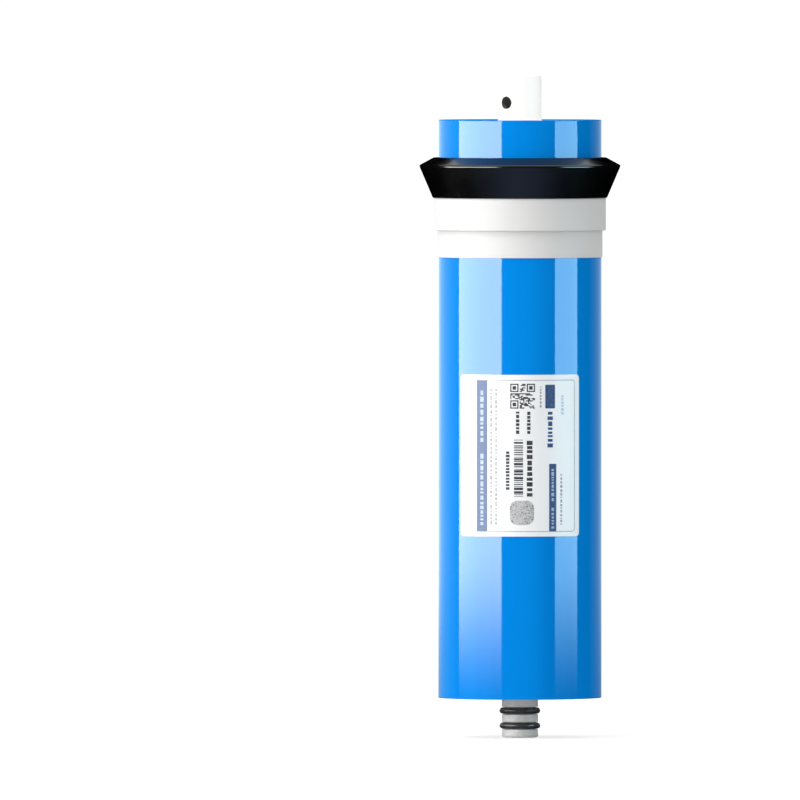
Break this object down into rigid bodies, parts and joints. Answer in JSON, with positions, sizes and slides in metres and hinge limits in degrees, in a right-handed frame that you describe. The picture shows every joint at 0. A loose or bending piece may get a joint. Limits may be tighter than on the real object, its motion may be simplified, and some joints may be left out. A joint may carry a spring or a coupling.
{
  "type": "ro membrane element",
  "caption": "Spiral-wound membrane element in a glossy blue wrap, with a black lip seal on a white carrier ring, a side label and an outlet stub with O-rings.",
  "frame": {"origin": "centre of the outlet stub's end face", "axes": "+Z along the element from the permeate outlet towards the feed end; the label faces -Y"},
  "size_m": [0.0888, 0.0888, 0.2915],
  "materials": {
    "tube_plastic": "smooth moulded white",
    "carrier_plastic": "smooth moulded white, satin",
    "black_rubber": "smooth black rubber",
    "blue_wrap": "glossy blue film",
    "label_film": "printed white film",
    "membrane": "cut edges of cream membrane sheet",
    "spacer_net": "translucent net",
    "permeate_fabric": "fine white knit"
  },
  "bodies": {
    "root": {"permeate_tube": "tube_plastic", "end_plug": "tube_plastic", "outlet_o_ring_upper": "black_rubber", "outlet_o_ring_lower": "black_rubber", "carrier_leader": "permeate_fabric", "outer_wrap": "blue_wrap", "seal_carrier": "carrier_plastic", "brine_seal": "black_rubber", "product_label": "label_film", "membrane_leaf_1": "membrane", "feed_spacer_1": "spacer_net", "membrane_leaf_2": "membrane", "feed_spacer_2": "spacer_net", "membrane_leaf_3": "membrane", "feed_spacer_3": "spacer_net", "membrane_leaf_4": "membrane", "feed_spacer_4": "spacer_net"}
  },
  "joints": []
}
